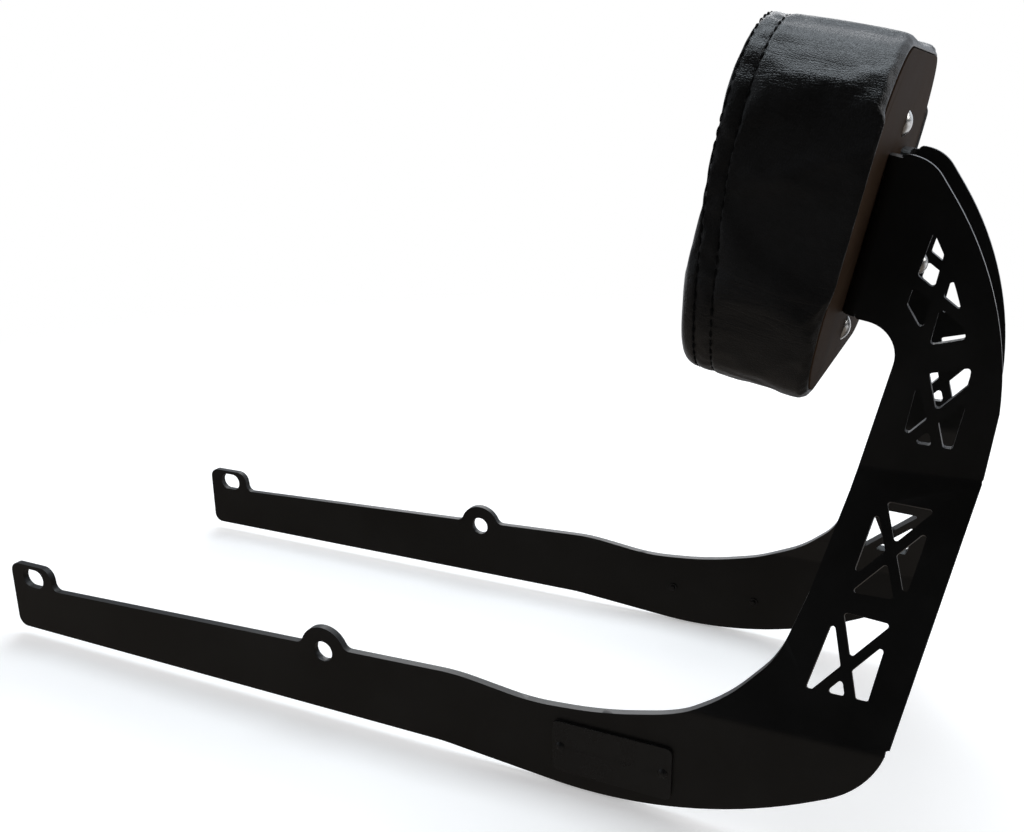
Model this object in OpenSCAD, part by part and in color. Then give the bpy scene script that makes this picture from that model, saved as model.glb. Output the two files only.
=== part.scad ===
// Motorcycle backrest: two folded steel side plates that carry an upholstered pad.
// Lengths are in millimetres. +X points to the rear, +Z up, and Y = 0 is the middle plane.
// The side plates touch Z = 0 with their lowest edge. Outlines are drawn from the axis
// of the front mounting slot, and the module in_row moves them to the middle of the part.

/* [Side plates] */
// Thickness of the steel sheet
sheet_t = 5; // [4:0.5:6]
// Half the width over the outer faces of the arms
arm_half = 120; // [112:1:130]
// Half the width over the outer faces of the uprights
upright_half = 49; // [46:0.5:54]
// Height of the lower fold above the slot axis
fold_low = 21; // [18:0.5:24]
// Height of the upper fold above the slot axis
fold_high = 156; // [152:0.5:160]
// Inside radius of the two long folds
fold_r = 6; // [3:0.5:9]
// Radius of the small notches that end the folds at the rear edge
notch_r = 2.2; // [1.5:0.1:3]

/* [Mounting holes] */
// Width of the front slot
slot_w = 15.5; // [13:0.5:17]
// Length of the front slot from end to end
slot_len = 21.5; // [19:0.5:24]
// Diameter of the rear mounting hole
hole_d = 14.8; // [13:0.1:16]
// Distance from the slot axis to the rear mounting hole
hole_pitch = 274; // [262:1:286]
// Radius of the raised ear around the rear mounting hole
ear_r = 17.7; // [16:0.1:20]
// Radius that blends the ear into the arm
ear_blend = 6; // [4:0.5:9]

/* [Windows] */
// Width of the diagonal braces left in each window
brace_w = 5.4; // [4:0.1:6.5]
// Corner radius of the openings
window_r = 1.6; // [1:0.1:2]
// Width of the rim between the top window and the rounded rear edge
rim_w = 16.5; // [14:0.5:20]

/* [Pad flanges] */
// Lean of the pad back, from upright towards the rear
pad_lean = 11.4; // [10:0.1:13]
// Distance from the middle plane to the free edge of a flange
flange_in = 19; // [18:0.5:22]
// Inside radius of the flange fold
flange_r = 2.5; // [2:0.1:3]
// Height along the pad back at which the flanges start
flange_from = 43.5; // [42:0.5:46]
// Height along the pad back at which the flanges end
flange_to = 129.5; // [126:0.5:131]

/* [Cross bracket] */
// Thickness of the bracket sheet
bracket_t = 3; // [2.5:0.1:4]
// Height of the bracket along the pad back
bracket_h = 44; // [40:1:50]
// Height of the bracket middle along the pad back
bracket_mid = 71.5; // [69:0.5:74]
// Distance from the pad back to the rear face of the bracket
bracket_deep = 28.4; // [26:0.2:30]
// Half the width over the legs of the bracket
bracket_half = 17; // [14:0.5:17.5]
// Distance from the middle plane to the end of a bracket foot
foot_to = 40.5; // [38:0.5:41]

/* [Pad] */
// Width of the pad
pad_w = 250; // [230:1:280]
// Height of the pad
pad_h = 187; // [175:1:195]
// Depth of the pad at its middle, from its back to the crown
pad_deep = 80; // [76:0.5:86]
// Corner radius of the pad seen from the front
pad_corner = 56; // [44:1:64]
// Radius that rounds the front edge of the pad
pad_edge = 6; // [3:0.5:6]
// Height of the crown in front of the rounded edge
crown_rise = 8; // [4:0.5:12]
// Radius of the crowned front surface
crown_r = 700; // [500:10:1000]
// Thickness of the padded cover
cover_t = 3; // [2.5:0.1:4]
// Distance from the pad back to the rear seam
seam_rear = 57; // [52:0.5:57.5]
// Width of the hem that the side band turns over the base
hem_w = 16; // [12:0.5:20]
// Thickness of the back plate
back_t = 2.4; // [2:0.1:3]
// Inset of the back plate from the pad outline
back_inset = 5.5; // [3:0.5:7]
// Thickness of the base under the foam
base_t = 10; // [9:0.5:12]

/* [Fasteners] */
// Diameter of the truss heads on the back plate
truss_d = 14.6; // [12:0.1:16]
// Height of the truss heads
truss_h = 3.4; // [2.6:0.1:4]
// Diameter of the domed head on the cross bracket
dome_d = 13.6; // [12:0.1:15]
// Height of the domed head
dome_h = 5.4; // [4.5:0.1:6]
// Diameter of the bolts that hold the bracket feet
foot_bolt_d = 6; // [5:0.5:6]
// Distance between the two bolts of a bracket foot
foot_pitch = 24; // [20:1:26]

/* [Badge plates] */
// Length of a badge plate
badge_len = 75.6; // [70:0.2:80]
// Height of a badge plate
badge_h = 34.6; // [30:0.2:36]
// Thickness of a badge plate
badge_t = 2.2; // [1.5:0.1:3]
// Corner radius of a badge plate
badge_r = 4; // [2:0.5:6]
// Distance between the two rivets of a badge plate
rivet_pitch = 65.2; // [60:0.2:66]

/* [Hidden] */
row_mid = 322.5;
row_low = 51.5;
fold_angle = atan((arm_half - upright_half) / (fold_high - fold_low));
slant = (fold_high - fold_low) / cos(fold_angle);
back_at = [575, 200];
seam_front = 65.5;
dome_at = 71.8;
foot_y = 30;
truss_low = 25;
truss_high = 143.8;
badge_at = [481.6, -23.6];
rivet_hole = 1.8;
gap = 0.2;
tail = [466.3, 195];
tail_r = 202;
swoop = [465, 233.5];
swoop_r = 285;
steel_black = [0.09, 0.09, 0.1];
leather_black = [0.06, 0.06, 0.065];
zinc = [0.78, 0.78, 0.8];

// Unit vector along v.
function unit(v) = v / norm(v);

// Points on a circle from angle a to angle b, close enough to stay within 0.04 mm of it.
function arc(c, r, a, b) = let(n = max(2, ceil(abs(b - a) * sqrt(r) / 30)))
    [for (i = [0:n]) c + r * [cos(a + (b - a) * i / n), sin(a + (b - a) * i / n)]];

// Corner v between the points p and q, replaced by a tangent arc of radius r.
function soft_corner(p, v, q, r) =
    let(a = unit(p - v), b = unit(q - v), bend = 180 - acos(max(-1, min(1, a * b))))
    r <= 0 || bend < 3 ? [v] :
    let(c = v + unit(a + b) * r / cos(bend / 2), s = v + a * r * tan(bend / 2) - c,
        from = atan2(s[1], s[0]), way = cross(a, b) > 0 ? -1 : 1)
    arc(c, r, from, from + way * bend);

// Closed outline from [x, z, radius] points, each corner rounded by its own radius.
function outline(pts) = [for (i = [0:len(pts) - 1])
    let(n = len(pts), p = pts[(i + n - 1) % n], v = pts[i], q = pts[(i + 1) % n])
    each soft_corner([p[0], p[1]], [v[0], v[1]], [q[0], q[1]], v[2])];

// Same points with one radius for all corners.
function with_r(pts, r) = [for (p = pts) [p[0], p[1], r]];

// Same points with the radius r, or the largest that fits between a corner and its neighbours.
function with_fitting_r(pts, r) = [for (i = [0:len(pts) - 1])
    let(n = len(pts), a = pts[(i + n - 1) % n] - pts[i], b = pts[(i + 1) % n] - pts[i],
        half = 90 - acos(max(-1, min(1, unit(a) * unit(b)))) / 2,
        room = 0.45 * min(norm(a), norm(b)))
    [pts[i][0], pts[i][1], half < 1.5 ? 0 : min(r, room / tan(half))]];

// Part of a convex outline that lies on the side of the line through p that n points to.
function keep_side(pts, p, n) = [for (i = [0:len(pts) - 1])
    let(a = pts[i], b = pts[(i + 1) % len(pts)], da = (a - p) * n, db = (b - p) * n)
    each concat(da >= 0 ? [a] : [], da * db < 0 ? [a + (b - a) * da / (da - db)] : [])];

// Drops a corner that sits closer than 2.5 mm to the next one, so every corner can be rounded.
function no_stubs(pts) = [for (i = [0:len(pts) - 1])
    if (norm(pts[i] - pts[(i + 1) % len(pts)]) > 2.5) pts[i]];

// The four openings that two crossing braces leave in a window.
// fall and rise each hold the two ends of one brace centre line.
module braced_openings(window, fall, rise) {
    df = unit(fall[1] - fall[0]);
    dr = unit(rise[1] - rise[0]);
    nf = [-df[1], df[0]];
    nr = [-dr[1], dr[0]];
    for (i = [-1, 1])
        for (j = [-1, 1])
            polygon(outline(with_fitting_r(no_stubs(keep_side(
                keep_side(window, fall[0] + i * nf * brace_w / 2, i * nf),
                rise[0] + j * nr * brace_w / 2, j * nr)), window_r)));
}

// Moves shapes drawn from the slot axis to the frame of the whole part.
module in_row() {
    translate([-row_mid, 0, row_low]) children();
}

// Frame of the pad back: x points rearward off it, z runs up along it.
module on_pad_back() {
    in_row() translate([back_at[0], 0, back_at[1]]) rotate([0, pad_lean, 0]) children();
}

// Prism of an outline in the side view, from y = a to y = b.
module side_prism(a, b) {
    translate([0, b, 0]) rotate([90, 0, 0]) linear_extrude(b - a) children();
}

// Prism of an outline in the pad plane (first y, then height), from x = a to x = b.
module pad_prism(a, b) {
    translate([a, 0, 0]) rotate([90, 0, 90]) linear_extrude(b - a) children();
}

// Shape turned so that its z axis points off the pad back.
module off_back(x, y, z) {
    translate([x, y, z]) rotate([0, 90, 0]) children();
}

// Low domed button with a flat underside at z = 0.
module dome(d, h) {
    r = (d * d / 4 + h * h) / (2 * h);
    intersection() {
        translate([0, 0, h - r]) sphere(r, $fn = 64);
        translate([-d, -d, 0]) cube(2 * d);
    }
}

// Round washer or sleeve.
module ring(d_out, d_in, h) {
    difference() {
        cylinder(h = h, d = d_out, $fn = 40);
        translate([0, 0, -1]) cylinder(h = h + 2, d = d_in, $fn = 32);
    }
}

// Raised ear with its two blends, as points along the top edge of the arm.
function ear_points(slope, foot) =
    let(drop = foot[1] * cos(slope), lift = ear_blend + drop,
        run = sqrt(pow(ear_r + ear_blend, 2) - lift * lift),
        side = atan2(lift, run), base = [hole_pitch, 0],
        local = concat(
            arc([-run, lift], ear_blend, 270, 360 - side),
            arc([0, 0], ear_r, 180 - side, side),
            arc([run, lift], ear_blend, 180 + side, 270)))
    [for (p = local) [base[0] + p[0] * cos(slope) - p[1] * sin(slope),
        base[1] + p[0] * sin(slope) + p[1] * cos(slope), 0]];

// Point on the front edge of the lobe, where the fold of the flange starts, at height h.
function lobe_edge(h, n = flange_r + sheet_t) = back_at + [
    n * cos(pad_lean) + h * sin(pad_lean), h * cos(pad_lean) - n * sin(pad_lean)];

// Side view of one plate: arm with two ears, swooping tail, upright and pad lobe.
module plate_outline() {
    slope = atan((7.4 + 6.8) / (368 - 27));
    foot = [hole_pitch, -6.8 + (hole_pitch - 27) * tan(slope)];
    front = [[-22.8, -44.2, 8], [-22.8, 10.8, 8], [18.5, 10.8, 10], [20, -7.1, 6]];
    dip = [[375.7, 7.7, 150], [428.4, 1.1, 150], [475.4, 4.9, 250], [520, 16.3, 110],
        [548.3, 32, 90], [572, 55.9, 45], [583.6, 90, 40], [597.4, 144, 80], [617.2, 235.5, 19]];
    lobe = [[each lobe_edge(42.8), 2], [each lobe_edge(131.9), 3], [622.7, 324.7, 24]];
    rear = [[664.6, 156.7, 0], [636, 23.3, 0], [634, 20.6, 0], [627.4, -2.7, 57]];
    polygon(outline(concat(front, ear_points(slope, foot), dip, lobe,
        with_r(arc(tail, tail_r, 33, 0), 0), rear,
        with_r(arc(swoop, swoop_r, -61.7, -90), 0),
        with_r(arc(swoop, swoop_r, -90 - 0.6, -94.8), 0), [[365, -44.2, 100]])));
}

// Section of the folded sheet: upright arm, leaning web, upright top.
module folded_section() {
    low_r = fold_r + sheet_t;
    low = [arm_half - low_r, fold_low - low_r * tan(fold_angle / 2)];
    high = [upright_half + fold_r, fold_high + fold_r * tan(fold_angle / 2)];
    polygon(concat(
        [[arm_half, -80]],
        arc(low, low_r, 0, fold_angle),
        arc(high, fold_r, 180 + fold_angle, 180),
        [[upright_half, 360], [upright_half - sheet_t, 360]],
        arc(high, fold_r + sheet_t, 180, 180 + fold_angle),
        arc(low, fold_r, fold_angle, 0),
        [[arm_half - sheet_t, -80]]));
}

// Cutter square to the leaning web; its outline uses true lengths up the web from the low fold.
module web_cut() {
    translate([0, arm_half, fold_low]) rotate([fold_angle, 0, 0]) side_prism(-20, 20) children();
}

// Height z of the side view, as a length up the leaning web.
function up_web(p) = [p[0], (p[1] - fold_low) * slant / (fold_high - fold_low)];

// Four braced windows, the lower two cut square to the leaning web.
module windows() {
    web_cut() braced_openings(
        [for (p = [[599.5, 84], [629.3, 84], [622, 44.2], [588.9, 44.6]]) up_web(p)],
        [up_web([600.4, 84]), up_web([612.9, 43.8])],
        [up_web([596.4, 45]), up_web([629.6, 79.2])]);
    web_cut() braced_openings(
        [for (p = [[614, 141], [643.6, 141], [633.5, 94], [603.3, 94]]) up_web(p)],
        [up_web([614.8, 141]), up_web([630.8, 94])],
        [up_web([604.2, 96.8]), up_web([642.2, 135])]);
    side_prism(0, arm_half) braced_openings(
        [[627, 212.5], [652, 218.5], [651.3, 195.5], [647.5, 172.7], [621.5, 174]],
        [[628.9, 213], [639.8, 173.3]],
        [[623.7, 173.9], [650.8, 203.8]]);
    side_prism(0, arm_half) braced_openings(
        concat([[617.1, 249.7], [621.8, 269.5], [626.6, 288.8]],
            arc(tail, tail_r - rim_w, 29, 12), [[630.7, 228.3]]),
        [[620.4, 262.6], [644.4, 244.4]],
        [[627.6, 229], [635.8, 280]]);
}

// Flange at +Y: the fold along the front edge of the lobe and the flat part on the pad back.
module pad_flange() {
    r = flange_r + sheet_t;
    on_pad_back() difference() {
        intersection() {
            translate([0, 0, flange_from]) linear_extrude(flange_to - flange_from) polygon(concat(
                arc([r, upright_half - r], r, 90, 180),
                [[0, flange_in], [sheet_t, flange_in]],
                arc([r, upright_half - r], flange_r, 180, 90)));
            pad_prism(-1, r + 2) polygon(outline([
                [flange_in, flange_from, 7], [upright_half + 1, flange_from, 0],
                [upright_half + 1, flange_to, 0], [flange_in, flange_to, 7]]));
        }
        foot_holes(foot_bolt_d + 0.6, -5, 15);
    }
}

// Holes for the bracket bolts at one side, on the pad back.
module foot_holes(d, a, b) {
    for (s = [-1, 1])
        off_back(a, foot_y, bracket_mid + s * foot_pitch / 2)
            cylinder(h = b - a, d = d, $fn = 32);
}

// Front mounting slot, rounded at both ends.
module slot() {
    a = slot_len / 2;
    b = slot_w / 2;
    r = b - 0.05;
    polygon(outline([[-a, -b, r], [a, -b, r], [a, b, r], [-a, b, r]]));
}

// Plate at +Y, from the arm to the lobe.
module side_plate() {
    in_row() difference() {
        intersection() {
            side_prism(0, arm_half + 10) plate_outline();
            translate([-60, 0, 0]) rotate([90, 0, 90]) linear_extrude(780) folded_section();
        }
        windows();
        side_prism(arm_half - sheet_t - 5, arm_half + 5) slot();
        translate([hole_pitch, arm_half + 5, 0]) rotate([90, 0, 0])
            cylinder(h = sheet_t + 10, d = hole_d, $fn = 64);
        for (p = [[636, fold_low + 1], [666.2, fold_high]])
            translate([p[0], arm_half + 5, p[1]]) rotate([90, 0, 0])
                cylinder(h = 100, r = notch_r, $fn = 24);
        for (s = [-1, 1])
            translate([badge_at[0] + s * rivet_pitch / 2, arm_half + 5, badge_at[1]]) rotate([90, 0, 0])
                cylinder(h = sheet_t + 10, r = rivet_hole, $fn = 24);
    }
}

module right_side_plate() {
    color(steel_black) side_plate();
}

module left_side_plate() {
    color(steel_black) mirror([0, 1, 0]) side_plate();
}

module right_pad_flange() {
    color(steel_black) pad_flange();
}

module left_pad_flange() {
    color(steel_black) mirror([0, 1, 0]) pad_flange();
}

// Hat-shaped bracket that ties the two flanges together behind the pad.
module cross_bracket() {
    r_in = 1.5;
    r_out = r_in + bracket_t;
    low = sheet_t;
    high = low + bracket_t;
    inner = bracket_half - bracket_t;
    color(steel_black) on_pad_back() difference() {
        intersection() {
            translate([0, 0, bracket_mid - bracket_h / 2]) linear_extrude(bracket_h) polygon(outline([
                [low, foot_to, 0], [high, foot_to, 0], [high, bracket_half, r_in],
                [bracket_deep, bracket_half, r_out], [bracket_deep, -bracket_half, r_out],
                [high, -bracket_half, r_in], [high, -foot_to, 0], [low, -foot_to, 0],
                [low, -inner, r_out], [bracket_deep - bracket_t, -inner, r_in],
                [bracket_deep - bracket_t, inner, r_in], [low, inner, r_out]]));
            pad_prism(low - 1, bracket_deep + 1) polygon(outline([
                [-foot_to, bracket_mid - bracket_h / 2, 5], [foot_to, bracket_mid - bracket_h / 2, 5],
                [foot_to, bracket_mid + bracket_h / 2, 5], [-foot_to, bracket_mid + bracket_h / 2, 5]]));
        }
        foot_holes(foot_bolt_d + 0.6, 0, 15);
        mirror([0, 1, 0]) foot_holes(foot_bolt_d + 0.6, 0, 15);
        off_back(bracket_deep - bracket_t - 1, 0, dome_at) cylinder(h = bracket_t + 2, d = 8.4, $fn = 32);
    }
}

// Long bolt with a smooth dome, through the bracket and the base into its tee nut.
module dome_bolt() {
    color(zinc) on_pad_back() off_back(bracket_deep, 0, dome_at) {
        dome(dome_d, dome_h);
        translate([0, 0, -46]) cylinder(h = 47, d = 8, $fn = 32);
    }
}

// Tee nut pressed into the base for one bolt: sleeve and flange on the foam side.
module tee_nut(d_in, d_sleeve, d_flange) {
    difference() {
        union() {
            translate([0, 0, -back_t - base_t - 1.5]) cylinder(h = 1.5, d = d_flange, $fn = 40);
            translate([0, 0, -back_t - base_t - 1]) cylinder(h = base_t, d = d_sleeve, $fn = 32);
        }
        translate([0, 0, -30]) cylinder(h = 40, d = d_in, $fn = 32);
    }
}

module dome_tee_nut() {
    color(zinc) on_pad_back() off_back(0, 0, dome_at) tee_nut(8.1, 10.4, 22);
}

// Positions of the four bracket bolts.
module at_foot_bolts(x) {
    for (side = [-1, 1])
        for (s = [-1, 1])
            off_back(x, side * foot_y, bracket_mid + s * foot_pitch / 2) children();
}

module bracket_washers() {
    color(zinc) on_pad_back() at_foot_bolts(sheet_t + bracket_t) ring(12, foot_bolt_d + 0.4, 1.4);
}

// Button-head bolts with a hexagon socket.
module bracket_bolts() {
    color(zinc) on_pad_back() at_foot_bolts(sheet_t + bracket_t + 1.4) difference() {
        union() {
            dome(10.6, 3.3);
            translate([0, 0, -24]) cylinder(h = 25, d = foot_bolt_d, $fn = 32);
        }
        translate([0, 0, 1.3]) cylinder(h = 5, d = 4.6, $fn = 6);
    }
}

module bracket_tee_nuts() {
    color(zinc) on_pad_back() at_foot_bolts(0) tee_nut(foot_bolt_d + 0.1, 8, 18);
}

// Pad outline seen from the front, inset by a distance.
module pad_outline(inset) {
    h = pad_w / 2 - inset;
    r = pad_corner - inset;
    polygon(outline([[-h, inset, r], [h, inset, r], [h, pad_h - inset, r], [-h, pad_h - inset, r]]));
}

// Padded front panel, from the front seam to the crowned and rounded front.
module pad_front_panel() {
    w = pad_w / 2 - pad_corner;
    root = seam_front + gap / 2;
    deep = pad_deep - crown_rise;
    cap = pad_h / 2 - pad_edge;
    crown = arc([0, pad_deep - crown_r], crown_r, 90 - asin(cap / crown_r), 90);
    color(leather_black) on_pad_back() hull() {
        for (y = [-w, w])
            for (z = [pad_corner, pad_h - pad_corner])
                translate([0, y, z]) rotate([0, -90, 0]) rotate_extrude($fn = 64) polygon(outline([
                    [0, root, 0], [pad_corner, root, 0], [pad_corner, deep, pad_edge], [0, deep, 0]]));
        for (s = [-1, 1])
            translate([0, s * (pad_w - pad_h) / 2, pad_h / 2]) rotate([0, -90, 0])
                rotate_extrude($fn = 64) polygon(concat([[0, root]], crown));
    }
}

// Narrow strip of the cover between its two seams.
module pad_seam_strip() {
    color(leather_black) on_pad_back() difference() {
        pad_prism(-seam_front + gap / 2, -seam_rear - gap / 2) pad_outline(0);
        pad_prism(-seam_front - 1, -seam_rear + 1) pad_outline(cover_t);
    }
}

// Side band from the rear seam to the back, with the hem turned over the base.
module pad_side_band() {
    hem_t = 2;
    color(leather_black) on_pad_back() {
        difference() {
            pad_prism(-seam_rear + gap / 2, -back_t - gap) pad_outline(0);
            pad_prism(-seam_rear - 1, -back_t - hem_t) pad_outline(cover_t);
            pad_prism(-back_t - hem_t - 1, 0) pad_outline(hem_w);
        }
    }
}

// Bores through the base for the sleeves of the tee nuts.
module sleeve_bores(a, b) {
    at_foot_bolts(a) cylinder(h = b - a, d = 8.2, $fn = 32);
    off_back(a, 0, dome_at) cylinder(h = b - a, d = 10.6, $fn = 32);
}

// Moulded base with a rebate for the hem and bores for the tee nuts.
module pad_base() {
    rebate = 2 + 2 * gap;
    color([0.12, 0.12, 0.12]) on_pad_back() difference() {
        union() {
            pad_prism(-back_t - base_t, -back_t - rebate) pad_outline(cover_t + gap);
            pad_prism(-back_t - base_t, -back_t) pad_outline(hem_w + 2 * gap);
        }
        sleeve_bores(-back_t - base_t - 1, 1);
        for (z = [truss_low, truss_high])
            off_back(-back_t - base_t - 1, 0, z) cylinder(h = base_t + 2, d = 5.1, $fn = 32);
    }
}

// Satin sheet that covers the hem and carries the flanges.
module pad_back_plate() {
    color([0.2, 0.15, 0.13]) on_pad_back() difference() {
        pad_prism(-back_t, 0) pad_outline(back_inset);
        at_foot_bolts(-back_t - 1) cylinder(h = back_t + 2, d = foot_bolt_d + 0.6, $fn = 32);
        off_back(-back_t - 1, 0, dome_at) cylinder(h = back_t + 2, d = 8.6, $fn = 32);
        for (z = [truss_low, truss_high])
            off_back(-back_t - 1, 0, z) cylinder(h = back_t + 2, d = 5.4, $fn = 32);
    }
}

// Truss-head screws on the centre line, above and below the side plates.
module back_plate_bolts() {
    color(zinc) on_pad_back() for (z = [truss_low, truss_high])
        off_back(0, 0, z) {
            dome(truss_d, truss_h);
            translate([0, 0, -base_t - back_t + 1]) cylinder(h = base_t + back_t, d = 5, $fn = 32);
        }
}

// Foam block with pockets for the tee nuts and the ends of the bolts.
module pad_foam() {
    color([0.75, 0.72, 0.6]) on_pad_back() difference() {
        pad_prism(-seam_front + gap / 2, -back_t - base_t - gap) pad_outline(cover_t + gap);
        at_foot_bolts(-30) cylinder(h = 40, d = 19, $fn = 32);
        off_back(-30, 0, dome_at) cylinder(h = 40, d = 23, $fn = 32);
    }
}

// Blank badge plate on the outer face of an arm, drawn at +Y.
module badge_plate() {
    h = badge_h / 2;
    l = badge_len / 2;
    in_row() translate([badge_at[0], 0, badge_at[1]]) difference() {
        side_prism(arm_half, arm_half + badge_t) polygon(outline([
            [-l, -h, badge_r], [l, -h, badge_r], [l, h, badge_r], [-l, h, badge_r]]));
        for (s = [-1, 1])
            translate([s * rivet_pitch / 2, arm_half + 5, 0]) rotate([90, 0, 0])
                cylinder(h = 10, r = rivet_hole, $fn = 24);
    }
}

// Positions of the two rivets of a badge, with z pointing outward from y.
module at_rivets(y) {
    in_row() for (s = [-1, 1])
        translate([badge_at[0] + s * rivet_pitch / 2, y, badge_at[1]]) rotate([-90, 0, 0]) children();
}

module badge_rivets() {
    at_rivets(arm_half + badge_t) {
        dome(6.4, 1.6);
        translate([0, 0, -sheet_t - badge_t - 2.6])
            cylinder(h = sheet_t + badge_t + 3.2, r = rivet_hole - 0.1, $fn = 24);
    }
}

// Thin washers under the set ends of the rivets, inside the arm.
module rivet_washers() {
    at_rivets(arm_half - sheet_t - 1) ring(7, 2 * rivet_hole + 0.2, 1);
}

module right_badge_plate() {
    color(steel_black) badge_plate();
}

module left_badge_plate() {
    color(steel_black) mirror([0, 1, 0]) badge_plate();
}

module right_badge_rivets() {
    color(steel_black) badge_rivets();
}

module left_badge_rivets() {
    color(steel_black) mirror([0, 1, 0]) badge_rivets();
}

module right_rivet_washers() {
    color(steel_black) rivet_washers();
}

module left_rivet_washers() {
    color(steel_black) mirror([0, 1, 0]) rivet_washers();
}

left_side_plate();
right_side_plate();
left_pad_flange();
right_pad_flange();
cross_bracket();
dome_bolt();
dome_tee_nut();
bracket_bolts();
bracket_washers();
bracket_tee_nuts();
pad_base();
pad_back_plate();
back_plate_bolts();
pad_foam();
pad_front_panel();
pad_seam_strip();
pad_side_band();
left_badge_plate();
right_badge_plate();
left_badge_rivets();
right_badge_rivets();
left_rivet_washers();
right_rivet_washers();
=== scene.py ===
import math

import bpy
import numpy as np
from mathutils import Matrix, Vector


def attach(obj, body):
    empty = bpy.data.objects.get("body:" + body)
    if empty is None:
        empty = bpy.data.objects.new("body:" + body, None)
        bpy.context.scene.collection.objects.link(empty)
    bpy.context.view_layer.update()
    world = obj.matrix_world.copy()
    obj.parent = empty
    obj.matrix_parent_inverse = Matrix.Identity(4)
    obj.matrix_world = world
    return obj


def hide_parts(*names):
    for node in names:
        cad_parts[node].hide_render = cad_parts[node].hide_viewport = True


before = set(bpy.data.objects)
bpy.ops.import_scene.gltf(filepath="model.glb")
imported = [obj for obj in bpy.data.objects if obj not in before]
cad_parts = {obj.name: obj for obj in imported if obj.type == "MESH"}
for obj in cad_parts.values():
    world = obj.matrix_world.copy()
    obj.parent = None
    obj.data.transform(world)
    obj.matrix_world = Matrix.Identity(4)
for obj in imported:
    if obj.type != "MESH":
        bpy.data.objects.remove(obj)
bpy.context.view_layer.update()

# The view: the camera stands behind the left shoulder of the part, a little above the pad,
# with the focal length and the place that the two side plates of the photograph give.
camera = bpy.data.objects.new("camera", bpy.data.cameras.new("camera"))
camera.data.sensor_width = 36.0
camera.data.lens = 36.604
right = Vector((0.9048, 0.42569, -0.01157))
down = Vector((0.11501, -0.27044, -0.95584))
ahead = Vector((-0.41002, 0.86351, -0.29365))
turn = Matrix((right, -down, -ahead)).transposed().to_4x4()
camera.matrix_world = Matrix.Translation((0.338327, -0.631431, 0.409570)) @ turn
camera.data.clip_start = 0.01
camera.data.clip_end = 50.0
bpy.context.scene.collection.objects.link(camera)
bpy.context.scene.camera = camera
bpy.context.scene.view_settings.view_transform = "Standard"


# The studio: a white floor that keeps the part's shadow, under a white backdrop. Mirrored in the
# black parts, the camera's side of the room is dark and the far side bright, as in the photograph.
# Soft lamps hang above, behind and beyond the part.
class Wire:
    """A shader socket that can be used in plain arithmetic."""

    def __init__(self, tree, socket):
        self.tree = tree
        self.socket = socket

    def make(self, kind, values, out=0, **settings):
        return make_node(self.tree, kind, values, out, **settings)

    def math(self, operation, *others):
        return self.make("ShaderNodeMath", dict(enumerate((self,) + others)), operation=operation)

    def __add__(self, other):
        return self.math("ADD", other)

    def __mul__(self, other):
        return self.math("MULTIPLY", other)

    def __sub__(self, other):
        return self.math("SUBTRACT", other)

    def __rsub__(self, other):
        return (self * -1.0) + other

    def above(self, low, high):
        """0 below low, 1 above high, smooth between."""
        return self.make("ShaderNodeMapRange", {0: self, 1: low, 2: high}, interpolation_type="SMOOTHSTEP")

    def choose(self, first, second):
        """The first colour where this is 0, the second where it is 1."""
        return self.make("ShaderNodeMix", {0: self, 6: first, 7: second}, out=2, data_type="RGBA")


def make_node(tree, kind, values, out=0, **settings):
    """One node of any kind, with its settings, its input values or links, and one output as a Wire."""
    node = tree.nodes.new(kind)
    for name, value in settings.items():
        setattr(node, name, value)
    for key, value in values.items():
        if isinstance(value, Wire):
            tree.links.new(value.socket, node.inputs[key])
        elif isinstance(value, tuple) and len(value) == 3 and node.inputs[key].type == "RGBA":
            node.inputs[key].default_value = value + (1.0,)
        else:
            node.inputs[key].default_value = value
    return Wire(tree, node.outputs[out])


world = bpy.data.worlds.new("studio")
world.use_nodes = True
world.node_tree.nodes.clear()
ray = make_node(world.node_tree, "ShaderNodeLightPath", {}, out="Is Camera Ray")
mirror_ray = make_node(world.node_tree, "ShaderNodeLightPath", {}, out="Is Glossy Ray")
toward = make_node(world.node_tree, "ShaderNodeTexCoord", {}, out="Generated")
far_side = make_node(world.node_tree, "ShaderNodeSeparateXYZ", {"Vector": toward}, out="Y").above(0.30, 0.95)
rear = make_node(world.node_tree, "ShaderNodeSeparateXYZ", {"Vector": toward}, out="X")
front_side = (rear * -1.0).above(0.2, 1.0) * 0.45
backdrop = far_side.math("MAXIMUM", front_side).choose((0.009, 0.008, 0.0075), (0.80, 0.85, 0.93))
seen = ray.choose(mirror_ray.choose((0.46, 0.46, 0.47), backdrop), (1.0, 1.0, 1.0))
shade = make_node(world.node_tree, "ShaderNodeBackground", {"Color": seen, "Strength": 1.0})
end = world.node_tree.nodes.new("ShaderNodeOutputWorld")
world.node_tree.links.new(shade.socket, end.inputs["Surface"])
bpy.context.scene.world = world


def new_material(name):
    """An empty node material and a function that closes it with its shader."""
    material = bpy.data.materials.new(name)
    material.use_nodes = True
    material.node_tree.nodes.clear()

    def close(surface):
        end = material.node_tree.nodes.new("ShaderNodeOutputMaterial")
        material.node_tree.links.new(surface.socket, end.inputs["Surface"])
        return material

    return material.node_tree, close


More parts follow.
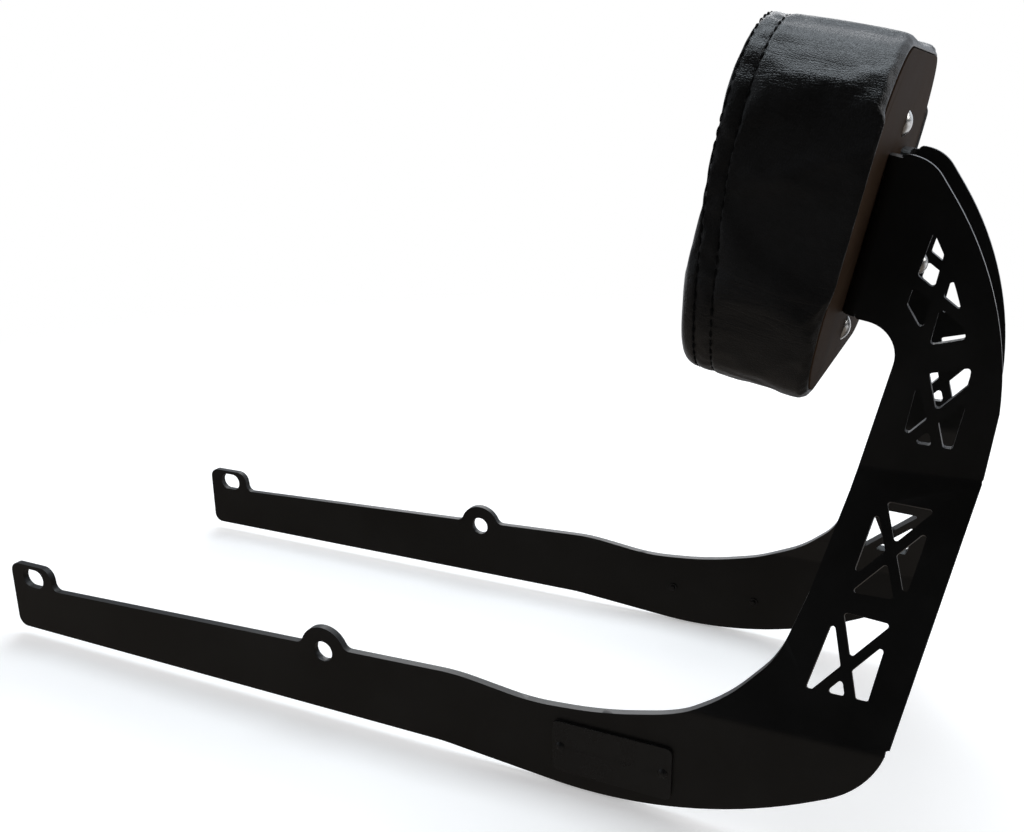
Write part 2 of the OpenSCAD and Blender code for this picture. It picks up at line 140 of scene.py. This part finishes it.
tree, close = new_material("studio_floor")
place = make_node(tree, "ShaderNodeTexCoord", {}, out="Object")
speck = make_node(tree, "ShaderNodeTexNoise", {"Vector": place, "Scale": 40.0, "Detail": 3.0})
tone = speck.choose((0.93, 0.93, 0.93), (0.96, 0.96, 0.96))
lit = make_node(tree, "ShaderNodeBsdfPrincipled", {
    "Base Color": tone, "Roughness": 0.9, "Specular IOR Level": 0.1,
    "Emission Color": (1.0, 1.0, 1.0), "Emission Strength": 0.30})
seen_ray = make_node(tree, "ShaderNodeLightPath", {}, out="Is Camera Ray")
mirror_ray = make_node(tree, "ShaderNodeLightPath", {}, out="Is Glossy Ray")
far_off = make_node(tree, "ShaderNodeVectorMath", {0: place}, out="Value", operation="LENGTH").above(0.55, 1.5)
white = make_node(tree, "ShaderNodeEmission", {"Color": (1.0, 1.0, 1.0), "Strength": 1.0})
floor_y = make_node(tree, "ShaderNodeSeparateXYZ", {"Vector": place}, out="Y")
near_half = floor_y.above(-0.85, -0.30).choose((0.008, 0.0072, 0.0068), (0.14, 0.122, 0.106))
dim = make_node(tree, "ShaderNodeEmission", {
    "Color": floor_y.above(0.12, 0.6).choose(near_half, (0.85, 0.86, 0.90)), "Strength": 1.0})
spread = make_node(tree, "ShaderNodeMixShader", {0: seen_ray * far_off, 1: lit, 2: white})
floor_finish = close(make_node(tree, "ShaderNodeMixShader", {0: mirror_ray, 1: spread, 2: dim}))
floor_mesh = bpy.data.meshes.new("studio_floor")
reach = 12.0
floor_mesh.from_pydata([(-reach, -reach, 0), (reach, -reach, 0), (reach, reach, 0), (-reach, reach, 0)], [],
                       [(0, 1, 2, 3)])
floor_mesh.materials.append(floor_finish)
floor = bpy.data.objects.new("studio_floor", floor_mesh)
floor.location.z = -0.0012
bpy.context.scene.collection.objects.link(floor)


def soft_lamp(name, place, target, size, power, tint=(1.0, 1.0, 1.0)):
    """A square studio lamp that faces a point of the part."""
    lamp = bpy.data.lights.new(name, "AREA")
    lamp.shape = "RECTANGLE"
    lamp.size, lamp.size_y = size
    lamp.energy = power
    lamp.color = tint
    holder = bpy.data.objects.new(name, lamp)
    holder.location = place
    holder.rotation_mode = "QUATERNION"
    holder.rotation_quaternion = (Vector(target) - Vector(place)).to_track_quat("-Z", "Y")
    bpy.context.scene.collection.objects.link(holder)
    holder.visible_camera = False


soft_lamp("top_lamp", (0.1, 0.5, 1.9), (0.15, 0.0, 0.1), (1.6, 1.0), 17.0, (0.84, 0.93, 1.0))
soft_lamp("rear_lamp", (1.5, 0.3, 1.1), (0.25, 0.0, 0.25), (0.7, 0.9), 5.0)
soft_lamp("far_lamp", (-0.5, 1.7, 1.0), (0.1, 0.0, 0.2), (1.6, 0.9), 12.0)


# Side plates with their pad flanges, and the bracket bolted between the flanges: laser-cut steel
# with a satin black powder coat. The coat has a faint orange peel, small differences in gloss
# and a little dust, and the cut edges are broken.
def powder_coat(name, deep, light, rough):
    tree, close = new_material(name)
    place = make_node(tree, "ShaderNodeTexCoord", {}, out="Object")
    peel = make_node(tree, "ShaderNodeTexNoise", {"Vector": place, "Scale": 900.0, "Detail": 3.0, "Roughness": 0.6})
    cloud = make_node(tree, "ShaderNodeTexNoise", {"Vector": place, "Scale": 14.0, "Detail": 5.0, "Roughness": 0.6})
    rub = make_node(tree, "ShaderNodeTexNoise", {"Vector": place, "Scale": 130.0, "Detail": 6.0, "Roughness": 0.75})
    dust = rub.above(0.62, 0.78) * 0.5
    tone = (cloud.above(0.3, 0.75) * 0.8 + dust * 0.4).choose(deep, light)
    gloss = cloud * 0.16 + rough - 0.08 + dust * 0.12
    bump = make_node(tree, "ShaderNodeBump", {"Height": peel, "Strength": 0.22, "Distance": 0.00012}, out="Normal")
    return close(make_node(tree, "ShaderNodeBsdfPrincipled", {
        "Base Color": tone, "Roughness": gloss, "Normal": bump, "IOR": 1.44}))


def dress(node_name, material, edge=0.0, segments=2):
    """A CAD node with its finish, and with its sharp edges broken by a small bevel."""
    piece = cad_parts[node_name]
    piece.data.materials.clear()
    piece.data.materials.append(material)
    for face in piece.data.polygons:
        face.material_index = 0
    if edge:
        weld = piece.modifiers.new("weld", "WELD")
        weld.merge_threshold = 0.00001
        bevel = piece.modifiers.new("bevel", "BEVEL")
        bevel.width = edge
        bevel.segments = segments
        bevel.limit_method = "ANGLE"
        bevel.angle_limit = math.radians(35)
        bevel.harden_normals = True


plate_coat = powder_coat("plate_coat", (0.0026, 0.0025, 0.0023), (0.0060, 0.0057, 0.0053), 0.34)
dress("left_side_plate", plate_coat, 0.00055)
dress("right_side_plate", plate_coat, 0.00055)
dress("left_pad_flange", plate_coat)
dress("right_pad_flange", plate_coat)
bracket_coat = powder_coat("bracket_coat", (0.005, 0.005, 0.005), (0.010, 0.010, 0.010), 0.42)
dress("cross_bracket", bracket_coat, 0.0003)


# Badge plates: blank black plates, a little glossier than the arms. Two round-headed rivets hold
# each of them, set over a washer on the inner face of the arm.
badge_black = powder_coat("badge_black", (0.0045, 0.0044, 0.0042), (0.0085, 0.0082, 0.0078), 0.27)
dress("left_badge_plate", badge_black, 0.0004)
dress("right_badge_plate", badge_black, 0.0004)
rivet_black = powder_coat("rivet_black", (0.004, 0.004, 0.004), (0.008, 0.008, 0.008), 0.24)
for name in ("left_badge_rivets", "right_badge_rivets", "left_rivet_washers", "right_rivet_washers"):
    dress(name, rivet_black, 0.0002)


# Fasteners: zinc-plated steel with a soft yellow-grey cast. The bolts clamp the bracket, the
# flanges and the back plate to tee nuts in the pad base.
def plated_steel(name, pale, dark, rough):
    tree, close = new_material(name)
    place = make_node(tree, "ShaderNodeTexCoord", {}, out="Object")
    fine = make_node(tree, "ShaderNodeTexNoise", {"Vector": place, "Scale": 2400.0, "Detail": 4.0})
    cloud = make_node(tree, "ShaderNodeTexNoise", {"Vector": place, "Scale": 260.0, "Detail": 4.0})
    tone = cloud.above(0.35, 0.7).choose(pale, dark)
    bump = make_node(tree, "ShaderNodeBump", {"Height": fine, "Strength": 0.2, "Distance": 0.00006}, out="Normal")
    return close(make_node(tree, "ShaderNodeBsdfPrincipled", {
        "Base Color": tone, "Metallic": 1.0, "Roughness": cloud * 0.2 + rough, "Normal": bump}))


zinc = plated_steel("zinc", (0.80, 0.79, 0.76), (0.58, 0.57, 0.55), 0.16)
for name in ("dome_bolt", "dome_tee_nut", "bracket_bolts", "bracket_washers", "bracket_tee_nuts",
             "back_plate_bolts"):
    dress(name, zinc, 0.0002)


# Pad base and foam: a moulded black plastic base under a block of pale open-cell foam. The
# cover hides both and holds them together.
tree, close = new_material("base_plastic")
place = make_node(tree, "ShaderNodeTexCoord", {}, out="Object")
grain = make_node(tree, "ShaderNodeTexNoise", {"Vector": place, "Scale": 1100.0, "Detail": 4.0})
bump = make_node(tree, "ShaderNodeBump", {"Height": grain, "Strength": 0.3, "Distance": 0.0001}, out="Normal")
dress("pad_base", close(make_node(tree, "ShaderNodeBsdfPrincipled", {
    "Base Color": grain.above(0.3, 0.7).choose((0.02, 0.02, 0.02), (0.03, 0.03, 0.03)),
    "Roughness": 0.55, "Normal": bump})), 0.0005)

tree, close = new_material("foam")
place = make_node(tree, "ShaderNodeTexCoord", {}, out="Object")
cells = make_node(tree, "ShaderNodeTexVoronoi", {"Vector": place, "Scale": 900.0})
bump = make_node(tree, "ShaderNodeBump", {"Height": cells, "Strength": 0.8, "Distance": 0.0004}, out="Normal")
dress("pad_foam", close(make_node(tree, "ShaderNodeBsdfPrincipled", {
    "Base Color": cells.choose((0.62, 0.57, 0.42), (0.74, 0.70, 0.56)), "Roughness": 0.95, "Normal": bump})))


# Back plate: a dark sheet that two truss-head bolts hold over the hem of the cover. Its brown colour is a painted
# warm reflection.
tree, close = new_material("back_sheet")
place = make_node(tree, "ShaderNodeTexCoord", {}, out="Object")
grain = make_node(tree, "ShaderNodeTexNoise", {"Vector": place, "Scale": 700.0, "Detail": 5.0, "Roughness": 0.65})
cloud = make_node(tree, "ShaderNodeTexNoise", {"Vector": place, "Scale": 22.0, "Detail": 4.0})
bump = make_node(tree, "ShaderNodeBump", {"Height": grain, "Strength": 0.25, "Distance": 0.0001}, out="Normal")
dress("pad_back_plate", close(make_node(tree, "ShaderNodeBsdfPrincipled", {
    # Painted warm reflection: the brown base colour, varied at random by the cloud.
    "Base Color": cloud.above(0.3, 0.7).choose((0.024, 0.0145, 0.009), (0.030, 0.019, 0.0125)),
    "Roughness": cloud * 0.14 + 0.44, "Normal": bump, "IOR": 1.035})), 0.0008, 3)


# Cover of the pad: black leatherette in three sewn parts, a crowned front panel, a narrow strip
# and a side band whose hem rolls over the base and is held under the back plate.
# Lengths in this section are in mm, in the frame of the pad: depth from its back to the front,
# y across, and height along its back.
pad_lean = math.radians(11.4)
pad_foot = Vector((0.2525, 0.0, 0.2515))
pad_back = Matrix.Translation(pad_foot) @ Matrix.Rotation(pad_lean, 4, "Y")
mm = 0.001
wide, high, corner = 250.0, 187.0, 56.0
across, up = 60, 40
columns = 2 * (across + up)


def rim(inset):
    """The pad outline seen from the front as (y, height) points in mm, inset by a distance.
    It starts in the middle of a lower corner, so that each run between corners maps to a grid side."""
    r = corner - inset
    w = wide / 2 - corner
    lower, upper = corner, high - corner
    quarter = r * math.pi / 4
    points = []
    runs = [((-w, lower), (w, lower), 225, across, 2 * w), ((w, lower), (w, upper), 315, up, upper - lower),
            ((w, upper), (-w, upper), 45, across, 2 * w), ((-w, upper), (-w, lower), 135, up, upper - lower)]
    for a, b, start, count, length in runs:
        total = 2 * quarter + length
        for i in range(count):
            s = total * i / count
            if s < quarter:
                t = math.radians(start + 45 * s / quarter)
                points.append((a[0] + r * math.cos(t), a[1] + r * math.sin(t)))
            elif s < quarter + length:
                k = (s - quarter) / length
                t = math.radians(start + 45)
                points.append((a[0] + (b[0] - a[0]) * k + r * math.cos(t),
                               a[1] + (b[1] - a[1]) * k + r * math.sin(t)))
            else:
                t = math.radians(start + 45 + 45 * (s - quarter - length) / quarter)
                points.append((b[0] + r * math.cos(t), b[1] + r * math.sin(t)))
    return np.array(points)


def ripple(waves, seed):
    """A smooth random wave round the whole outline, between -1 and 1."""
    dice = np.random.default_rng(seed)
    turn = np.arange(columns) * 2 * math.pi / columns
    wave = sum(dice.normal() * np.cos(k * turn + dice.uniform(0, 6.283)) for k in waves)
    return wave / (np.abs(wave).max() + 1e-9)


def rise(x, low, high):
    """0 below low, 1 above high, smooth between."""
    t = np.clip((x - low) / (high - low), 0.0, 1.0)
    return t * t * (3.0 - 2.0 * t)


def seam_at(height):
    """How far the rear seam lies in front of the pad back: the pad is thinner at its foot."""
    return 51.5 + 10.8 * rise(height, 12.0, 125.0)


# The leather rolls over the rear edge of the base: widely round the corners and along the top
# and the foot, and tightly along the sides, with a small pleat where the upper corner ends.
outline = rim(0.0)
beside = (np.abs(outline[:, 0]) > wide / 2 - 4.0).astype(float)
pleat_height = 157.0
tight = beside * rise(outline[:, 1], 52.0, 70.0) * (1.0 - rise(outline[:, 1], 154.0, 158.0))
roll_wide, roll_tight = 5.0, 2.4
roll = roll_wide - (roll_wide - roll_tight) * tight
pleat = beside * np.exp(-((outline[:, 1] - pleat_height) / 2.2) ** 2)

# Each row of the cover: its place, its inset from the outline, how much it puckers, and whether
# a seam or the base holds it. A place below 0 is an angle on the roll, in degrees. A place up to
# 12 is a depth. The rows beyond are spread between there, the seams and the edge of the front,
# whose depths change with the height.
level = 12.0
seam_rear, seam_front = 57.0, 66.4
edge_run = 5.6
rows = [(3.1, 16.0, 0, 1), (3.05, 9.5, 0, 1), (3.0, 6.4, 0, 1), (1.9, 5.3, 0, 1)]
rows += [(-1.0, 0.0, 0.2, 1), (-18.0, 0.0, 0.2, 1)]
rows += [(-angle, 0.0, 0.2, 0) for angle in (36.0, 54.0, 72.0, 90.0)]
rows += [(9.0, 0.0, 0.2, 0)]
rows += [(d, 0.0, 0.3, 0) for d in np.arange(level, seam_rear - 3.0, 3.6)]
rows += [(seam_rear - 2.0, 0.0, 0.5, 0), (seam_rear - 0.7, 0.25, 0.7, 0), (seam_rear, 1.0, 0.2, 1),
         (seam_rear + 0.7, 0.3, 0.7, 0), (seam_rear + 2.1, 0.0, 0.5, 0), (seam_rear + 4.7, 0.0, 0.3, 0),
         (seam_front - 2.1, 0.0, 0.5, 0), (seam_front - 0.7, 0.3, 0.7, 0), (seam_front, 1.2, 0.2, 1),
         (seam_front + 0.9, 0.6, 0.7, 0), (seam_front + 2.4, 1.3, 0.5, 0), (seam_front + 3.9, 3.0, 0.3, 0),
         (seam_front + 4.9, 5.6, 0.2, 0), (seam_front + edge_run, 9.0, 0.1, 0)]
rear_row = next(i for i, row in enumerate(rows) if row[0] == seam_rear)
front_row = next(i for i, row in enumerate(rows) if row[0] == seam_front)


def depth_of(place, height):
    """The depth of a row at each height."""
    rear = seam_at(height)
    if place <= level:
        return np.full(len(height), place)
    if place <= seam_rear:
        return level + (place - level) * (rear - level) / (seam_rear - level)
    if place <= seam_front:
        return rear + place - seam_rear
    front = rear + seam_front - seam_rear
    edge = 71.8 + 1.8 * rise(height, 0.0, 150.0)
    return front + (place - seam_front) * (edge - front) / edge_run


points = []
held = []
creases = ripple(range(14, 60), 5) * (0.35 + 0.65 * np.abs(ripple(range(2, 7), 8)))
tucks = ripple(range(36, 90), 11)
side_out = rim(-1.0) - outline
for place, inset, pucker, fixed in rows:
    if place < 0:
        angle = math.radians(-place)
        depth = 0.5 - 1.9 * tight + roll * (1.0 - math.cos(angle)) + 1.2 * pleat * (1.0 - math.sin(angle))
        ring = outline - side_out * (roll * (1.0 - math.sin(angle)) + 0.9 * pleat)[:, None]
        wide_fade = seam_fade = 0.0
    else:
        ring = rim(inset)
        depth = depth_of(place, ring[:, 1])
        wide_fade = math.exp(-abs(place - seam_rear) / 24.0)
        seam_fade = math.exp(-abs(place - seam_rear) / 4.0)
    push = pucker * (0.34 * creases * (0.3 + 0.7 * wide_fade) + 0.28 * tucks * seam_fade)
    ring = ring + side_out * push[:, None]
    points += [(-d, y, z) for d, (y, z) in zip(depth, ring)]
    held += [fixed] * columns
faces = []
for i in range(len(rows) - 1):
    for j in range(columns):
        k = (j + 1) % columns
        faces.append((i * columns + j, i * columns + k, (i + 1) * columns + k, (i + 1) * columns + j))

# The front is a grid whose border is the last row: a crowned sheet stretched over the foam.
crown = 6.2
last = (len(rows) - 1) * columns
border = np.array(points[last:])
grid = {}
for i in range(across + 1):
    for j in range(up + 1):
        if j == 0:
            grid[i, j] = last + i
        elif i == across:
            grid[i, j] = last + across + j
        elif j == up:
            grid[i, j] = last + across + up + (across - i)
        elif i == 0:
            grid[i, j] = last + 2 * across + up + (up - j)
for i in range(1, across):
    for j in range(1, up):
        s, t = i / across, j / up
        low_p, high_p = border[grid[i, 0] - last], border[grid[i, up] - last]
        left_p, right_p = border[grid[0, j] - last], border[grid[across, j] - last]
        c00, c10 = border[0], border[across]
        c11, c01 = border[across + up], border[2 * across + up]
        flat = (low_p * (1 - t) + high_p * t + left_p * (1 - s) + right_p * s
                - (c00 * (1 - s) * (1 - t) + c10 * s * (1 - t) + c11 * s * t + c01 * (1 - s) * t))
        lift = crown * ((1 - (2 * s - 1) ** 2) * (1 - (2 * t - 1) ** 2)) ** 0.62
        grid[i, j] = len(points)
        points.append((flat[0] - lift, flat[1], flat[2]))
        held.append(0)
front_faces = []
for i in range(across):
    for j in range(up):
        front_faces.append((grid[i, j], grid[i + 1, j], grid[i + 1, j + 1], grid[i, j + 1]))

sheet = bpy.data.meshes.new("cover_sheet")
sheet.from_pydata([tuple(c * mm for c in p) for p in points], [], faces + front_faces)
sheet.update()
cover = bpy.data.objects.new("cover_sheet", sheet)
bpy.context.scene.collection.objects.link(cover)
start = np.array([v.co[:] for v in sheet.vertices])

# The foam presses the sheet out between the seams: a short cloth simulation under pressure, with
# a limit on how far a point of the band and of the front may move.
steps = 18
band_reach, front_reach = 1.5 * mm, 2.4 * mm
pins = cover.vertex_groups.new(name="held")
pins.add([i for i, h in enumerate(held) if h], 1.0, "REPLACE")
cloth = cover.modifiers.new("cloth", "CLOTH")
cloth.settings.quality = 6
cloth.settings.mass = 0.25
cloth.settings.tension_stiffness = 60
cloth.settings.compression_stiffness = 60
cloth.settings.shear_stiffness = 20
cloth.settings.bending_stiffness = 1.2
cloth.settings.shrink_min = -0.022
cloth.settings.vertex_group_mass = "held"
cloth.settings.use_pressure = True
cloth.settings.uniform_pressure_force = 3.0
cloth.settings.effector_weights.gravity = 0.0
cloth.collision_settings.use_collision = False
cloth.point_cache.frame_start = 1
cloth.point_cache.frame_end = steps
for step in range(1, steps + 1):
    bpy.context.scene.frame_set(step)
posed = cover.evaluated_get(bpy.context.evaluated_depsgraph_get())
moved = np.array([v.co[:] for v in posed.data.vertices]) - start
cover.modifiers.clear()
bpy.context.scene.frame_set(1)
limit = np.where(np.arange(len(start)) >= last, front_reach, band_reach)
length = np.linalg.norm(moved, axis=1)
moved *= (limit * np.tanh(length / limit) / np.maximum(length, 1e-9))[:, None]
start = start + moved


# Black leatherette: pebbled grain, long fine creases where the band is drawn round the corners,
# soft dents across the band, and worn gloss on the high spots.
tree, close = new_material("leatherette")
place = make_node(tree, "ShaderNodeTexCoord", {}, out="Object")
moved_down = make_node(tree, "ShaderNodeMapping", {"Vector": place, "Location": tuple(-pad_foot)})
on_pad = make_node(tree, "ShaderNodeMapping", {"Vector": moved_down, "Rotation": (0.0, -pad_lean, 0.0)})
pebble = make_node(tree, "ShaderNodeTexVoronoi", {"Vector": place, "Scale": 780.0}, feature="DISTANCE_TO_EDGE")
fine = make_node(tree, "ShaderNodeTexNoise", {"Vector": place, "Scale": 1500.0, "Detail": 3.0})
cloud = make_node(tree, "ShaderNodeTexNoise", {"Vector": place, "Scale": 16.0, "Detail": 5.0, "Roughness": 0.6})
drawn = make_node(tree, "ShaderNodeMapping", {"Vector": on_pad, "Scale": (0.16, 1.0, 1.0)})
line = make_node(tree, "ShaderNodeTexNoise", {
    "Vector": drawn, "Scale": 130.0, "Detail": 3.0, "Roughness": 0.5, "Distortion": 0.5})
furrow = (line - 0.5).math("ABSOLUTE").above(0.0, 0.06)
pulled = make_node(tree, "ShaderNodeMapping", {"Vector": on_pad, "Scale": (0.35, 1.0, 1.0)})
dent = make_node(tree, "ShaderNodeTexNoise", {
    "Vector": pulled, "Scale": 38.0, "Detail": 3.0, "Roughness": 0.5})
height = make_node(tree, "ShaderNodeSeparateXYZ", {"Vector": on_pad}, out="Z")
by_top = height.above(0.128, 0.146) * (1.0 - height.above(0.160, 0.176))
by_foot = height.above(0.026, 0.040) * (1.0 - height.above(0.060, 0.078))
gathered = by_top * 0.6 + by_foot * 0.8 + 0.26
surface = (pebble.above(0.0, 0.25) * 0.62 + fine * 0.22 + furrow * gathered * 0.80
           + line * gathered * 3.2 + dent * 4.6)
bump = make_node(tree, "ShaderNodeBump", {"Height": surface, "Strength": 0.6, "Distance": 0.00026}, out="Normal")
worn = cloud.above(0.3, 0.7) * 0.7 + pebble.above(0.0, 0.2) * 0.3
leather = close(make_node(tree, "ShaderNodeBsdfPrincipled", {
    "Base Color": worn.choose((0.0018, 0.0017, 0.0016), (0.0048, 0.0046, 0.0045)),
    "Roughness": cloud * 0.14 + 0.29, "Normal": bump, "IOR": 1.48}))


def cover_part(name, chosen, node_name):
    """One cut part of the cover, taken from the whole sheet by its faces."""
    used = sorted({v for f in chosen for v in f})
    number = {v: i for i, v in enumerate(used)}
    mesh = bpy.data.meshes.new(name)
    mesh.from_pydata([tuple(start[v]) for v in used], [], [tuple(number[v] for v in f) for f in chosen])
    mesh.transform(pad_back)
    mesh.materials.append(leather)
    for face in mesh.polygons:
        face.use_smooth = True
    mesh.update()
    piece = bpy.data.objects.new(name, mesh)
    bpy.context.scene.collection.objects.link(piece)
    smooth = piece.modifiers.new("fine", "SUBSURF")
    smooth.levels = smooth.render_levels = 1
    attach(piece, "root")
    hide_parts(node_name)


cover_part("side_band_cover", faces[:rear_row * columns], "pad_side_band")
cover_part("seam_strip_cover", faces[rear_row * columns:front_row * columns], "pad_seam_strip")
cover_part("front_panel_cover", faces[front_row * columns:] + front_faces, "pad_front_panel")
bpy.data.objects.remove(cover)


# Stitching: dull black thread along both seams. Each stitch stands a little out of its seam and
# sinks into a needle hole at both ends.
tree, close = new_material("thread")
place = make_node(tree, "ShaderNodeTexCoord", {}, out="Object")
strand = make_node(tree, "ShaderNodeTexWave", {"Vector": place, "Scale": 900.0, "Distortion": 1.0})
bump = make_node(tree, "ShaderNodeBump", {"Height": strand, "Strength": 0.5, "Distance": 0.0001}, out="Normal")
thread = close(make_node(tree, "ShaderNodeBsdfPrincipled", {
    "Base Color": strand.choose((0.0015, 0.0015, 0.0015), (0.0030, 0.0030, 0.0030)),
    "Roughness": 0.85, "Specular IOR Level": 0.15, "Normal": bump}))
pitch, stitch, thick = 6.6, 4.4, 0.46
rings, sides = 6, 6


def stitch_row(name, ahead, inset):
    """A row of stitches that lies some mm ahead of the rear seam and inside the outline."""
    ring = rim(inset)
    ring = np.vstack([ring, ring[:1]])
    steps = np.linalg.norm(np.diff(ring, axis=0), axis=1)
    along = np.concatenate([[0], np.cumsum(steps)])
    count = int(along[-1] / pitch)
    verts, quads = [], []
    for i in range(count):
        base = along[-1] * i / count
        first = len(verts)
        for part in range(rings):
            s = (base + stitch * part / (rings - 1)) % along[-1]
            t = (s + 0.05) % along[-1]
            here = np.array([np.interp(s, along, ring[:, 0]), np.interp(s, along, ring[:, 1])])
            there = np.array([np.interp(t, along, ring[:, 0]), np.interp(t, along, ring[:, 1])])
            way = (there - here) / np.linalg.norm(there - here)
            out = np.array([way[1], -way[0]])
            bow = math.sin(math.pi * part / (rings - 1))
            centre = here + out * (0.5 * bow - 0.5)
            radius = thick * (0.55 + 0.45 * bow)
            depth = float(seam_at(here[1])) + ahead
            for side in range(sides):
                a = 2 * math.pi * side / sides
                spot = centre + out * radius * math.cos(a)
                verts.append(pad_back @ (Vector((-depth + radius * math.sin(a), spot[0], spot[1])) * mm))
        for part in range(rings - 1):
            for side in range(sides):
                a, b = first + part * sides + side, first + part * sides + (side + 1) % sides
                quads.append((a, b, b + sides, a + sides))
        quads.append(tuple(first + k for k in reversed(range(sides))))
        quads.append(tuple(first + (rings - 1) * sides + k for k in range(sides)))
    mesh = bpy.data.meshes.new(name)
    mesh.from_pydata([tuple(v) for v in verts], [], quads)
    for face in mesh.polygons:
        face.use_smooth = True
    mesh.materials.append(thread)
    piece = bpy.data.objects.new(name, mesh)
    bpy.context.scene.collection.objects.link(piece)
    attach(piece, "root")


stitch_row("rear_seam_thread", 0.0, 0.35)
stitch_row("front_seam_thread", seam_front - seam_rear, 0.5)
